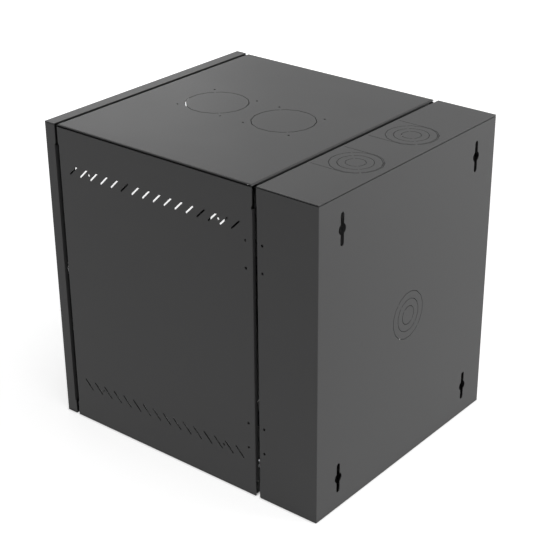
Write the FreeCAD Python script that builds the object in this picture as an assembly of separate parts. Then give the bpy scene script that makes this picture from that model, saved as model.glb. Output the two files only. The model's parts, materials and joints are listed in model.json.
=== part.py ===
"""Hinged wall mount network cabinet, 12U, built of folded sheet steel in three sections.

Millimetres. The origin is the centre of the wall face. +Z is up and the front looks towards -Y, so a
depth d measured from the wall is at y = -d. +X is the latch side and -X the hinge side.
"""

import FreeCAD, Part
import math
import os
from FreeCAD import Vector

# ---- overall sizes
width = 533.0               # over the side faces
height = 605.0              # over the top and bottom faces
wall_section_depth = 127.0  # box that is screwed to the wall
swing_gap = 9.3             # joint between wall section and swing section, at its ends
swing_section_depth = 452.5
door_gap = 6.6              # joint between swing section and door, at its ends
door_depth = 24.6

# ---- sheet metal
sheet = 1.5                 # thickness of every panel
bend = 1.5                  # outer radius of a tight bend
wide_bend = 3.0             # outer radius of the top and bottom panels' long bends
lip = 12.7                  # width of the wall section's lips and of the cross lips
side_lip = 8.0              # width of the upright lips of the side panels and the door
lap_gap = 0.1               # clearance between sheets that lap
end_zone = 34.0             # height of the cross flanges at each end
lip_top_gap = 44.0          # upright lips of the side panels and the door to the top face
lip_bottom_gap = 29.0       # and to the bottom face
relief_depth = 2.0          # notch beside the top end of an upright lip
relief_height = 7.5
relief_slope = 3.0          # part of its height that slopes
corner_relief = 16.0        # width at each side where cross flanges are cut away
wall_lip_setback = 0.2      # lip plane behind the end of its side wall
swing_lip_setback = 0.3
swing_front_setback = 1.0
door_lip_setback = 2.4
groove = 3.4                # open groove under the swing section's top panel
groove_depth = 6.0
wall_top_seam = 1.5         # open seam under the wall section's top panel
door_seam = 1.0             # open corner seam between the door's side walls and its ends

# ---- ventilation slots in the side panels
slot_pitch = 25.4
slot_length = 28.6
slot_width = 3.2
slot_row_inset = 79.9       # row to the top or bottom face
slot_first_inset = 36.0     # first slot to the section's rear edge
slot_end_margin = 30.0      # least distance from the last slot to its front edge
baying_hole_inset = 74.0    # bolt holes for a neighbouring cabinet, to the section's rear and front edges
baying_hole_diameter = 4.8

# ---- side holes for the hinge leaves, drilled on both sides
hinge_hole_pitch = 50.8
hinge_centre_insets = (128.0, 122.9)   # hinge to the top face, and to the bottom face
hinge_hole_insets = (11.5, 14.9)       # holes to the wall section's edge, and to the swing section's
hinge_hole_diameter = 5.2
hinge_screw_diameter = 5.0
hinge_screw_end = 5.5       # screw beyond the sheet inside

# ---- knock-outs and fan cut-outs
conduit_diameters = (35.0, 62.6, 90.8)
conduit_spread = 83.0       # top and bottom knock-outs, from mid width
conduit_depth = 62.5        # from the wall
cable_slot_radius = 48.0    # U-shaped knock-out around them
kerf = 1.0                  # laser cut around a knock-out
tab = 3.0                   # bridge that holds it
fan_diameter = 117.0
fan_kerf = 1.7
fan_hole_spacing = 104.8
fan_hole_diameter = 4.5
fan_insets = (147.4, 306.0) # fan centres to the swing section's front edge

# ---- wall mounting keyholes
keyhole_spacing = 406.4
keyhole_row_inset = 62.2    # row to the top or bottom face
keyhole_height = 61.0
keyhole_width = 9.5
keyhole_diameter = 19.5

# ---- 19 inch rack rails
rack_units = 12
rack_unit = 44.45
rack_hole_spacing = 465.1
rack_hole_side = 9.5
rack_hole_heights = (6.35, 22.225, 38.1)
rail_opening = 450.4
rail_thickness = 2.0
rail_flange = 25.0
rail_outer = 482.6
front_rail_inset = 119.8    # equipment face of the front rails to the swing section's front edge
rear_rail_inset = 127.6     # equipment face of the rear rails to its rear edge
bracket_height = 27.0
bracket_end_gap = 14.0      # between a rail bracket and the section's lips
rail_slot_height = 6.7
rail_bolt_diameter = 6.0
rail_bolt_inset = 11.0      # bolt to each end of a rail
rail_bolt_end = 7.0         # bolt beyond its bracket

# ---- swing hinges
swing_pin_diameter = 5.0
swing_knuckle_diameter = 9.0
hinge_leaf_thickness = 2.0
hinge_leaf_height = 76.0
hinge_leaf_edge = 10.0      # leaf beyond its holes
hinge_leaf_corner = 4.0     # chamfer of the leaf's corners
pin_end_gap = 2.0           # pin's end inside its knuckle
hinge_running_gap = 0.05    # pin in its knuckles, on the radius
knuckle_gap = 0.4           # between neighbouring knuckles

# ---- door hinges
door_pin_diameter = 4.0
door_knuckle_diameter = 9.0
door_knuckle_length = 28.0
door_hinge_inset = 87.5     # hinge to the top or bottom face
door_pivot_inset = 3.0      # pivot inside the side face
door_leaf_width = 5.0

# ---- door window
window_margin = 53.4        # window edge to door edge
window_hem = 5.0            # depth of the folded window edge
glass_thickness = 4.0
glass_overlap = 10.0        # glass beyond the window edge
seal_wall = 2.0
seal_cover = 1.0            # window edge to the seal's inner edge
clip_width = 24.0
clip_count_side = 2
clip_count_end = 2
clip_reach = 6.0            # arm over the seal, inside the seal's edge
clip_web_gap = 0.5          # web beyond the seal's edge
clip_foot = 13.0            # foot's end beyond the seal's edge
clip_stud_offset = 8.0      # stud beyond the seal's edge
clip_stud_diameter = 4.0
clip_stud_length = 8.0

# ---- door lock
lock_inset = 27.0           # lock axis to the door edge
lock_barrel_diameter = 18.0
lock_plug_diameter = 12.0
lock_running_gap = 0.05
cam_length = 24.0
cam_width = 14.0
cam_thickness = 2.0
cam_clearance = 1.3         # cam behind the swing section's front lip
lock_play = 0.5             # cam's and plug's room behind the housing
lock_flange_diameter = 25.0
lock_flange_height = 2.5
lock_nut_across = 24.0
lock_nut_height = 4.0
plug_tail = 7.0             # side of the plug's square tail
key_slot = (1.8, 8.0)       # breadth and height
cam_screw_across = 10.0
cam_screw_height = 3.0

# ---- latch between swing section and wall section
latch_inset = 152.5         # latch to the top or bottom face
latch_bolt_width = 6.0
latch_bolt_length = 21.0
latch_bolt_bevel = 1.0
latch_bolt_draw = 1.5       # bolt's nose behind the strike when it is drawn
latch_running_gap = 0.08
latch_plate = 2.0           # thickness of strike and bracket
strike_inset = 17.0         # strike's outer face to the side face
strike_height = 30.0
strike_reach = 59.0         # strike's tip beyond the swing section's rear edge
strike_hole_inset = 10.0    # bolt to the strike's tip
strike_hole_gap = 0.5
strike_corner = 6.0         # chamfer of its tip
strike_foot = (57.0, 31.0)  # foot's two ends, behind the wall section's front edge
ear_insets = (11.0, 24.0)   # bracket's two ears to the side face
ear_reach = (14.0, 5.0)     # ears behind the bolt, and beyond the strike's tip
bracket_foot = 30.0
knob_diameter = 16.0
knob_length = 7.0

# ---- rubber buffers
buffer_diameter = 12.0
buffer_spread = 150.0
buffer_clearance = 0.3
door_buffer_shift = 6.0     # door's buffers above the middle of the cross flanges

# ---- earth studs
stud_diameter = 6.0
stud_length = 20.0
stud_flange = 1.5           # height of the flange at its foot
stud_nut_height = 8.0       # nut above the floor
stud_x = 190.0
stud_insets = (40.0, 50.0)  # studs in front of the wall and of the swing section's rear edge

# ---- fineness of round details
thread_sides = 6            # flats round a screw's shank and its hole
small_sides = 8             # flats round a small hole in a panel, a knob or a buffer
knuckle_sides = 12          # flats round a hinge knuckle or a keyhole's head
barrel_sides = 16           # flats round the lock
ring_sides = 16             # flats round a knock-out in the top or the back
under_ring_sides = 10       # and in the bottom

# ---- places that follow from the sizes
half_width = width / 2
half_height = height / 2
swing_rear = wall_section_depth + swing_gap
swing_front = swing_rear + swing_section_depth
door_rear = swing_front + door_gap
door_front = door_rear + door_depth
wall_lip_plane = wall_section_depth - wall_lip_setback
swing_rear_lip_plane = swing_rear + swing_lip_setback
swing_front_lip_plane = swing_front - swing_front_setback
door_lip_plane = door_rear + door_lip_setback
side_lip_top = half_height - lip_top_gap
side_lip_bottom = -half_height + lip_bottom_gap
lip_top = half_height - end_zone
swing_pivot_x = -half_width - swing_knuckle_diameter / 2
door_pivot_x = -half_width + door_pivot_inset
door_pivot_depth = (swing_front_lip_plane + door_lip_plane) / 2
slot_first_depth = swing_rear + slot_first_inset
slot_count = int((swing_front - slot_end_margin - slot_first_depth) / slot_pitch) + 1
slot_row_offset = half_height - slot_row_inset
baying_hole_depths = (swing_rear + baying_hole_inset, swing_front - baying_hole_inset)
hinge_hole_depths = (wall_section_depth - hinge_hole_insets[0], swing_rear + hinge_hole_insets[1])
swing_pivot_depth = (hinge_hole_depths[0] + hinge_hole_depths[1]) / 2
hinge_centre_heights = (half_height - hinge_centre_insets[0], -half_height + hinge_centre_insets[1])
fan_depths = [swing_front - inset for inset in fan_insets]
keyhole_row_offset = half_height - keyhole_row_inset
front_rail_depth = swing_front - front_rail_inset
rear_rail_depth = swing_rear + rear_rail_inset
latch_height = half_height - latch_inset
strike_tip_depth = swing_rear + strike_reach
latch_depth = strike_tip_depth - strike_hole_inset
door_hinge_height = half_height - door_hinge_inset
rail_height = rack_units * rack_unit
rail_side = rail_outer / 2
window_half_width = half_width - window_margin
window_half_height = half_height - window_margin
lock_x = half_width - lock_inset


# ---------------------------------------------------------------- shape helpers
def at(x, depth, z):
    """Point at x, at a depth from the wall, at height z."""
    return Vector(x, -depth, z)


def block(x_range, depth_range, z_range):
    """Box between two x values, two depths from the wall and two heights."""
    (x0, x1), (d0, d1), (z0, z1) = x_range, depth_range, z_range
    return Part.makeBox(x1 - x0, d1 - d0, z1 - z0, Vector(x0, -d1, z0))


def rod(start, end, diameter):
    """Round bar between two points."""
    run = end - start
    return Part.makeCylinder(diameter / 2, run.Length, start, run)


def joined(shapes):
    """Fuses touching shapes into one solid."""
    shapes = list(shapes)
    whole = shapes[0].fuse(shapes[1:]) if len(shapes) > 1 else shapes[0]
    return whole.removeSplitter()


def group(shapes):
    """Keeps separate solids together as one node."""
    return Part.makeCompound(list(shapes))


def without(shape, cutters):
    return shape.cut(list(cutters))


def mirror_x(shape):
    return shape.mirror(Vector(0, 0, 0), Vector(1, 0, 0))


def mirror_z(shape):
    return shape.mirror(Vector(0, 0, 0), Vector(0, 0, 1))


def edges_where(shape, test):
    """Straight edges whose two ends both satisfy a test on the point."""
    return [e for e in shape.Edges if len(e.Vertexes) == 2 and all(test(v.Point) for v in e.Vertexes)]


def near(a, b):
    return abs(a - b) < 0.001


def upright_edges(shape):
    return [e for e in shape.Edges if near(e.BoundBox.XLength, 0) and near(e.BoundBox.YLength, 0)]


def obround(length, breadth, thickness, steps):
    """Long hole cutter, lying along X, centred on Z; each rounded end is drawn with a few flats."""
    reach, r = (length - breadth) / 2, breadth / 2
    points = []
    for side in (1, -1):
        for i in range(steps + 1):
            angle = math.radians(-90 + i * 180 / steps)
            x, y = reach + r * math.cos(angle), r * math.sin(angle)
            points.append(Vector(side * x, side * y, -thickness / 2))
    return Part.Face(Part.makePolygon(points + points[:1])).extrude(Vector(0, 0, thickness))


def placed(shape, base, turns=()):
    """Turns a copy about axes through the origin, in order, then moves it."""
    copy = shape.copy()
    for axis, angle in turns:
        copy.rotate(Vector(0, 0, 0), axis, angle)
    copy.translate(base)
    return copy


def ring_kerf(diameter, cut, thickness, sides=ring_sides):
    """Cut around a knock-out in the XY plane, left whole at two opposite bridges."""
    low, high = Vector(0, 0, -thickness / 2), Vector(0, 0, thickness / 2)
    ring = prism(low, high, diameter + cut, sides).cut(prism(low, high, diameter - cut, sides))
    reach = diameter / math.cos(math.pi / sides) / 2 + cut
    bridge = Part.makeBox(2 * reach, tab, thickness, Vector(-reach, -tab / 2, low.z))
    return ring.cut(placed(bridge, Vector(0, 0, 0), [(Vector(0, 0, 1), 45)]))


def conduit_knockout(thickness, sides=ring_sides):
    """Rings for three trade sizes of conduit, in the XY plane."""
    return [ring_kerf(diameter, kerf, thickness, sides) for diameter in conduit_diameters]


def prism(start, end, across_flats, sides):
    """Regular prism along an axis of the frame, with flats square to the other two axes."""
    run = end - start
    u = Vector(0, 1, 0) if abs(run.x) > 0 else Vector(1, 0, 0)
    v = Vector(0, 1, 0) if abs(run.z) > 0 else Vector(0, 0, 1)
    corner = across_flats / 2 / math.cos(math.pi / sides)
    points = []
    for i in range(sides):
        angle = (2 * i + 1) * math.pi / sides
        points.append(start + u * (corner * math.cos(angle)) + v * (corner * math.sin(angle)))
    return Part.Face(Part.makePolygon(points + points[:1])).extrude(run)


def drilled(shape, holes, diameter, sides=thread_sides):
    """Small holes, each from a start to an end point, drawn with a few flats."""
    return without(shape, [prism(start, end, diameter, sides) for start, end in holes])


def shank(start, end, diameter):
    """Threaded shank, left plain, with its corners on the diameter."""
    return prism(start, end, diameter * math.cos(math.pi / thread_sides), thread_sides)


def bolt(face, direction, grip, diameter):
    """Hexagon head screw whose head bears on a face; its shank reaches a grip beyond the face."""
    head = prism(face - direction * (0.5 * diameter), face, 1.65 * diameter, 6)
    return joined([head, shank(face, face + direction * grip, diameter)])


def nut(face, direction, diameter):
    """Hexagon nut that bears on a face and extends along a direction."""
    end = face + direction * (0.8 * diameter)
    return prism(face, end, 1.65 * diameter, 6).cut(shank(face, end, diameter))


to_right = Vector(1, 0, 0)
to_wall = Vector(0, 1, 0)
upwards = Vector(0, 0, 1)


# ---------------------------------------------------------------- wall section
def keyhole_cutters():
    depth = 6 * sheet
    slot = obround(keyhole_height, keyhole_width, depth, 4)
    head = prism(Vector(0, 0, -depth / 2), Vector(0, 0, depth / 2), keyhole_diameter, knuckle_sides)
    cutter = slot.fuse(head)
    upright = [(Vector(0, 0, 1), 90), (Vector(1, 0, 0), 90)]
    return [
        placed(cutter, at(x, sheet / 2, z), upright)
        for x in (-keyhole_spacing / 2, keyhole_spacing / 2)
        for z in (-keyhole_row_offset, keyhole_row_offset)
    ]


def wall_wrap():
    """Back and both sides in one folded sheet, with lips all round its open edges."""
    top = half_height - sheet - wall_top_seam
    shell = block((-half_width, half_width), (0, wall_lip_plane), (-half_height, top))
    shell = shell.makeFillet(bend, upright_edges(shell))
    inside = half_width - sheet
    opening = half_width - lip
    beyond = 2 * lip
    cuts = [
        block((-inside, inside), (sheet, wall_lip_plane - sheet), (-half_height + sheet, top - sheet)),
        block((-opening, opening), (sheet, wall_lip_plane + 1), (-half_height + sheet, top - sheet)),
        block((-opening, opening), (lip, wall_lip_plane + 1), (-half_height - 1, top + 1)),
    ]
    for low, high in ((lip_top, top + 1), (-half_height - 1, -lip_top)):
        cuts.append(block((-inside, inside), (wall_lip_plane - beyond, wall_lip_plane + 1), (low, high)))
    shell = without(shell, cuts)
    ends = []
    for side in (-1, 1):
        x0, x1 = sorted((side * inside, side * half_width))
        for low, high in ((lip_top, top - bend), (-half_height + bend, -lip_top)):
            ends.append(block((x0, x1), (wall_lip_plane - 2 * bend, wall_section_depth), (low, high)))
    shell = joined([shell] + ends)
    holes = [
        (at(-half_width - 1, hinge_hole_depths[0], z), at(half_width + 1, hinge_hole_depths[0], z))
        for z in hinge_hole_heights()
    ]
    upright = [(Vector(1, 0, 0), 90)]
    rings = [placed(ring, at(0, sheet / 2, 0), upright) for ring in conduit_knockout(3 * sheet)]
    return without(drilled(shell, holes, hinge_hole_diameter, small_sides), rings + keyhole_cutters())


def hinge_hole_heights():
    return [
        centre + step * hinge_hole_pitch / 2
        for centre in hinge_centre_heights
        for step in (-1, 1)
    ]


def cable_slot_kerf(thickness, sides):
    """U-shaped cut whose legs run from the knock-out's middle to the front edge, in the XY plane."""
    ring = ring_kerf(2 * cable_slot_radius, kerf, thickness, sides)
    size = 3 * cable_slot_radius
    front_half = Part.makeBox(size, size, thickness, Vector(-size / 2, -size, -thickness / 2))
    reach = wall_section_depth - conduit_depth - 2 * wide_bend
    leg = Part.makeBox(kerf, reach, thickness, Vector(-kerf / 2, -reach, -thickness / 2))
    legs = [placed(leg, Vector(side * cable_slot_radius, 0, 0)) for side in (-1, 1)]
    return [ring.cut(front_half)] + legs


def wall_end_panel_cuts(z, sides):
    cuts = []
    for x in (-conduit_spread, conduit_spread):
        for arc in conduit_knockout(3 * sheet, sides) + cable_slot_kerf(3 * sheet, sides):
            cuts.append(placed(arc, at(x, conduit_depth, z)))
    return cuts


def wall_top_panel():
    """Flat cover with a front flange and three short flanges that drop inside the wrap's lips."""
    cover = block((-half_width, half_width), (0, wall_section_depth), (lip_top, half_height))
    cover = cover.makeFillet(bend, edges_where(
        cover, lambda p: near(p.z, half_height) and near(p.y, -wall_section_depth)))
    hollow_side = half_width + 1
    under = half_height - sheet
    cuts = [block((-hollow_side, hollow_side), (-1, wall_section_depth - sheet), (lip_top - 1, under))]
    for side in (-1, 1):
        x0, x1 = sorted((side * (half_width - corner_relief), side * hollow_side))
        cuts.append(block((x0, x1), (0, wall_section_depth + 1), (lip_top - 1, half_height - bend)))
    cover = without(cover, cuts)
    inner = half_width - lip - lap_gap
    rear = lip + lap_gap
    drop = under - 3 * bend - wall_top_seam
    flanges = [block((-inner, inner), (rear, rear + sheet), (drop, under))]
    for side in (-1, 1):
        x0, x1 = sorted((side * inner, side * (inner - sheet)))
        flanges.append(block((x0, x1), (rear, wall_section_depth - lip), (drop, under)))
    return without(joined([cover] + flanges), wall_end_panel_cuts(half_height - sheet / 2, ring_sides))


def wall_bottom_panel():
    """Pan that stands on the wrap's bottom lips, with a front flange."""
    low = -half_height + sheet + lap_gap
    inside = half_width - sheet - lap_gap
    pan = block((-inside, inside), (sheet + lap_gap, wall_section_depth), (low, -lip_top))
    pan = pan.makeFillet(bend, edges_where(
        pan, lambda p: near(p.z, low) and near(p.y, -wall_section_depth)))
    cuts = [block((-half_width, half_width), (0, wall_section_depth - sheet), (low + sheet, -lip_top + 1))]
    for side in (-1, 1):
        x0, x1 = sorted((side * (half_width - corner_relief), side * half_width))
        cuts.append(block((x0, x1), (0, wall_section_depth + 1), (low + bend, -lip_top + 1)))
    return without(without(pan, cuts), wall_end_panel_cuts(low + sheet / 2, under_ring_sides))


# ---------------------------------------------------------------- swing section
def right_side_slots():
    """Slanted slots of the right side panel; the upper row rises towards the wall, the lower row falls."""
    slot = obround(slot_length, slot_width, 6 * sheet, 2)
    cuts = []
    for row in (-1, 1):
        turn = [(Vector(0, 0, 1), 90 + row * 45), (Vector(0, 1, 0), 90)]
        for i in range(slot_count):
            depth = slot_first_depth + i * slot_pitch
            cuts.append(placed(slot, at(half_width, depth, row * slot_row_offset), turn))
    return cuts


def through_right_side(depth, z):
    return at(half_width - 3 * sheet, depth, z), at(half_width + sheet, depth, z)


def edge_tab(edge, inward, z_range, notched):
    """Flat strip of the right side plate in an end zone, where no lip is folded; inward is 1 towards
    the front. A notched strip has a relief, sloped at its outer end, beside the lip."""
    far, beside_lip = z_range
    outer, inner = edge, edge + inward * (relief_depth + 2 * bend)
    floor = edge + inward * relief_depth
    outline = [(outer, far), (inner, far), (inner, beside_lip)]
    if notched:
        start = beside_lip + relief_height
        outline += [(floor, beside_lip), (floor, start - relief_slope), (outer, start)]
    else:
        outline.append((outer, beside_lip))
    points = [at(half_width - sheet, depth, z) for depth, z in outline + outline[:1]]
    return Part.Face(Part.makePolygon(points)).extrude(Vector(sheet, 0, 0))


def right_side_panel():
    """Folded tray: full plate with lips on four sides, cut back and notched at the corners."""
    top = half_height - sheet - groove
    rear, front = swing_rear_lip_plane, swing_front_lip_plane
    inside = half_width - sheet
    tray = block((half_width - side_lip, half_width), (rear, front), (-half_height, top))
    tray = tray.makeFillet(bend, [e for e in upright_edges(tray) if near(e.Vertexes[0].X, half_width)])
    open_side = half_width - side_lip - 1
    top_lip = half_width - groove_depth + lap_gap
    cuts = [
        block((open_side, inside), (rear + sheet, front - sheet), (-half_height + sheet, top - sheet)),
        block((open_side, top_lip), (rear, front), (top - sheet, top)),
    ]
    strip = relief_depth + 2 * bend
    for low, high in ((side_lip_top, top), (-half_height, side_lip_bottom)):
        cuts.append(block((open_side, half_width + 1), (rear - 1, swing_rear + strip), (low, high)))
        cuts.append(block((open_side, half_width + 1), (swing_front - strip, front + 1), (low, high)))
    for low, high in ((side_lip_top, top - sheet), (-half_height + sheet, side_lip_bottom)):
        cuts.append(block((open_side, inside), (rear - 1, rear + lip), (low, high)))
        cuts.append(block((open_side, inside), (front - lip, front + 1), (low, high)))
    tray = without(tray, cuts)
    ends = []
    for edge, inward in ((swing_rear, 1), (swing_front, -1)):
        ends.append(edge_tab(edge, inward, (top, side_lip_top), True))
        ends.append(edge_tab(edge, inward, (-half_height, side_lip_bottom), False))
    panel = without(joined([tray] + ends), right_side_slots())
    baying = [
        through_right_side(depth, row * slot_row_offset) for depth in baying_hole_depths for row in (-1, 1)
    ]
    hinge = [through_right_side(hinge_hole_depths[1], z) for z in hinge_hole_heights()]
    panel = drilled(panel, baying, baying_hole_diameter, small_sides)
    return drilled(panel, hinge, hinge_hole_diameter, small_sides)


def fan_cutters(z, bar, sides):
    """Fan knock-outs and their screw holes; bar makes the cutter of one hole."""
    cuts = []
    for depth in fan_depths:
        cuts.append(placed(ring_kerf(fan_diameter, fan_kerf, 3 * sheet, sides), at(0, depth, z)))
        for dx in (-fan_hole_spacing / 2, fan_hole_spacing / 2):
            for dd in (-fan_hole_spacing / 2, fan_hole_spacing / 2):
                start, end = at(dx, depth + dd, z - 2 * sheet), at(dx, depth + dd, z + 2 * sheet)
                cuts.append(bar(start, end))
    return cuts


def round_fan_hole(start, end):
    return rod(start, end, fan_hole_diameter)


def plain_fan_hole(start, end):
    return prism(start, end, fan_hole_diameter, thread_sides)


def end_cover(half_span, outer_z, depth_range):
    """Panel across the top of a section: a plate with a wide bend and a flange at front and rear."""
    rear, front = depth_range
    cover = block((-half_span, half_span), (rear, front), (lip_top, outer_z))
    cover = cover.makeFillet(wide_bend, edges_where(
        cover, lambda p: near(p.z, outer_z) and not near(p.x, 0)
        and (near(p.y, -rear) or near(p.y, -front))))
    below = lip_top - wide_bend
    hollow = block((-half_span - 1, half_span + 1), (rear + sheet, front - sheet), (below, outer_z - sheet))
    hollow = hollow.makeFillet(wide_bend - sheet, edges_where(
        hollow, lambda p: near(p.z, outer_z - sheet)
        and (near(p.y, -rear - sheet) or near(p.y, -front + sheet))))
    cuts = [hollow]
    for side in (-1, 1):
        x0, x1 = sorted((side * (half_width - corner_relief), side * (half_span + 1)))
        cuts.append(block((x0, x1), (rear - 1, front + 1), (below, outer_z - wide_bend)))
    return without(cover, cuts)


def swing_top_panel():
    cover = end_cover(half_width, half_height, (swing_rear, swing_front))
    under = half_height - sheet
    flanges = []
    for side in (-1, 1):
        x0, x1 = sorted((side * (half_width - groove_depth), side * (half_width - groove_depth - sheet)))
        flanges.append(block((x0, x1), (swing_rear + corner_relief, swing_front - corner_relief),
                             (under - groove - lip, under)))
    fans = fan_cutters(half_height - sheet / 2, round_fan_hole, ring_sides)
    return without(joined([cover] + flanges), fans)


def swing_bottom_panel():
    outer = half_height - sheet - lap_gap
    pan = end_cover(half_width - sheet - lap_gap, outer, (swing_rear, swing_front))
    return mirror_z(without(pan, fan_cutters(outer - sheet / 2, plain_fan_hole, under_ring_sides)))


# ---------------------------------------------------------------- rack rails
def rail_bracket(side, end):
    """Hat-shaped runner on a side panel, with one long slot for the rails' bolts."""
    outer = half_width - sheet - lap_gap
    web = rail_side + lap_gap + sheet
    bolt_z = rail_height / 2 - rail_bolt_inset
    low, high = bolt_z - bracket_height / 2, bolt_z + bracket_height / 2
    start = swing_rear + lip + bracket_end_gap
    stop = swing_front - lip / 2 - bracket_end_gap
    foot = [(outer, low - lip), (outer, low)]
    corners = foot + [(web, low), (web, high), (outer, high), (outer, high + lip / 2)]
    path = [at(x, start, z) for x, z in corners]
    bracket = Part.makePolygon(path).makeOffset2D(sheet, 0, True, True).extrude(Vector(0, start - stop, 0))
    slot = obround(stop - start - 4 * lip, rail_slot_height, 6 * sheet, 3)
    middle = at(web, (start + stop) / 2, bolt_z)
    bracket = bracket.cut(placed(slot, middle, [(Vector(0, 0, 1), 90), (Vector(0, 1, 0), 90)]))
    if side < 0:
        bracket = mirror_x(bracket)
    return bracket if end > 0 else mirror_z(bracket)


def rack_rail(side, face_depth, faces_front):
    """Angle rail with three square holes in each rack unit."""
    low, high = -rail_height / 2, rail_height / 2
    inner = rail_opening / 2
    turn = -1 if faces_front else 1
    corner = face_depth
    far = face_depth + turn * rail_flange
    d0, d1 = sorted((corner, corner + turn * rail_thickness))
    flange = block((inner, rail_side), (d0, d1), (low, high))
    e0, e1 = sorted((corner, far))
    web = block((rail_side - rail_thickness, rail_side), (e0, e1), (low, high))
    rail = joined([flange, web])
    outer_edge = edges_where(rail, lambda p: near(p.x, rail_side) and near(p.y, -corner))
    rail = rail.makeFillet(rail_thickness, outer_edge)
    cuts = []
    half = rack_hole_side / 2
    for unit in range(rack_units):
        for step in rack_hole_heights:
            z = low + unit * rack_unit + step
            x = rack_hole_spacing / 2
            cuts.append(block((x - half, x + half), (d0 - 1, d1 + 1), (z - half, z + half)))
    depth = rail_bolt_depth(face_depth, faces_front)
    holes = [
        (at(rail_side - rail_flange, depth, z), at(rail_side + 1, depth, z))
        for z in (low + rail_bolt_inset, high - rail_bolt_inset)
    ]
    rail = drilled(without(rail, cuts), holes, rail_bolt_diameter + 0.4)
    return rail if side > 0 else mirror_x(rail)


def rail_bolt_depth(face_depth, faces_front):
    return face_depth + (-1 if faces_front else 1) * (rail_flange + rail_thickness) / 2


def rail_bolts(side, face_depth, faces_front):
    """Two bolts with nuts that clamp a rail to its brackets."""
    depth = rail_bolt_depth(face_depth, faces_front)
    head_face = rail_side - rail_thickness
    nut_face = rail_side + lap_gap + sheet
    solids = []
    grip = nut_face - head_face + rail_bolt_end
    for z in (-rail_height / 2 + rail_bolt_inset, rail_height / 2 - rail_bolt_inset):
        solids.append(bolt(at(head_face, depth, z), to_right, grip, rail_bolt_diameter))
        solids.append(nut(at(nut_face, depth, z), to_right, rail_bolt_diameter))
    whole = group(solids)
    return whole if side > 0 else mirror_x(whole)


# ---------------------------------------------------------------- swing hinges
def hinge_half(centre, fixed):
    """Half of a lift-off hinge: a leaf outside the hinge side, with one knuckle round the pin."""
    outer = -half_width - hinge_leaf_thickness
    hole_depth = hinge_hole_depths[0] if fixed else hinge_hole_depths[1]
    away = -1 if fixed else 1
    edge = hole_depth + away * hinge_leaf_edge
    near_pin = swing_pivot_depth + away * (swing_knuckle_diameter / 2 + knuckle_gap)
    d0, d1 = sorted((edge, near_pin))
    low, high = centre - hinge_leaf_height / 2, centre + hinge_leaf_height / 2
    plate = block((outer, -half_width), (d0, d1), (low, high))
    corners = [e for e in edges_where(plate, lambda p: near(p.y, -edge)) if near(e.BoundBox.ZLength, 0)]
    plate = plate.makeChamfer(hinge_leaf_corner, corners)
    z0, z1 = (low, centre - knuckle_gap / 2) if fixed else (centre + knuckle_gap / 2, high)
    start, end = at(swing_pivot_x, swing_pivot_depth, z0), at(swing_pivot_x, swing_pivot_depth, z1)
    w0, w1 = sorted((swing_pivot_depth, near_pin))
    knuckle = prism(start, end, swing_knuckle_diameter, knuckle_sides)
    half = joined([plate, knuckle, block((outer, -half_width), (w0, w1), (z0, z1))])
    bore = swing_pin_diameter + (0 if fixed else 2 * hinge_running_gap)
    half = half.cut(prism(start, end, bore, knuckle_sides))
    holes = [
        (at(outer - 1, hole_depth, z), at(-half_width + 1, hole_depth, z))
        for z in (centre - hinge_hole_pitch / 2, centre + hinge_hole_pitch / 2)
    ]
    return drilled(half, holes, hinge_hole_diameter)


def swing_hinge_pins():
    """Pins pressed into the fixed halves; the moving halves drop over them."""
    half = hinge_leaf_height / 2
    return group([
        rod(at(swing_pivot_x, swing_pivot_depth, z - half),
            at(swing_pivot_x, swing_pivot_depth, z + half - pin_end_gap), swing_pin_diameter)
        for z in hinge_centre_heights
    ])


def hinge_screws(hole_depth):
    """Screws with nuts that hold the halves of both swing hinges on one section."""
    head_face = -half_width - hinge_leaf_thickness
    nut_face = -half_width + sheet
    solids = []
    grip = nut_face - head_face + hinge_screw_end
    for z in hinge_hole_heights():
        solids.append(bolt(at(head_face, hole_depth, z), to_right, grip, hinge_screw_diameter))
        solids.append(nut(at(nut_face, hole_depth, z), to_right, hinge_screw_diameter))
    return group(solids)


# ---------------------------------------------------------------- door hinges
def door_hinge_half(centre, on_door):
    """Half of a lift-off hinge on the lips that face each other across the door joint."""
    face, toward = (door_lip_plane, -1) if on_door else (swing_front_lip_plane, 1)
    z0 = centre + knuckle_gap / 2 if on_door else centre - door_knuckle_length
    z1 = centre + door_knuckle_length if on_door else centre - knuckle_gap / 2
    start, end = at(door_pivot_x, door_pivot_depth, z0), at(door_pivot_x, door_pivot_depth, z1)
    d0, d1 = sorted((face, face + toward * hinge_leaf_thickness))
    leaf = block((door_pivot_x, door_pivot_x + door_leaf_width), (d0, d1), (z0, z1))
    half = joined([prism(start, end, door_knuckle_diameter, knuckle_sides), leaf])
    if on_door:
        return half.cut(prism(start, end, door_pin_diameter + 2 * hinge_running_gap, knuckle_sides))
    tip = at(door_pivot_x, door_pivot_depth, centre + door_knuckle_length - pin_end_gap)
    return joined([half, rod(end, tip, door_pin_diameter)])


def door_hinge_halves(on_door):
    """Halves of both door hinges; the lower halves carry the pins."""
    return group([door_hinge_half(z, on_door) for z in (-door_hinge_height, door_hinge_height)])


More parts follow.
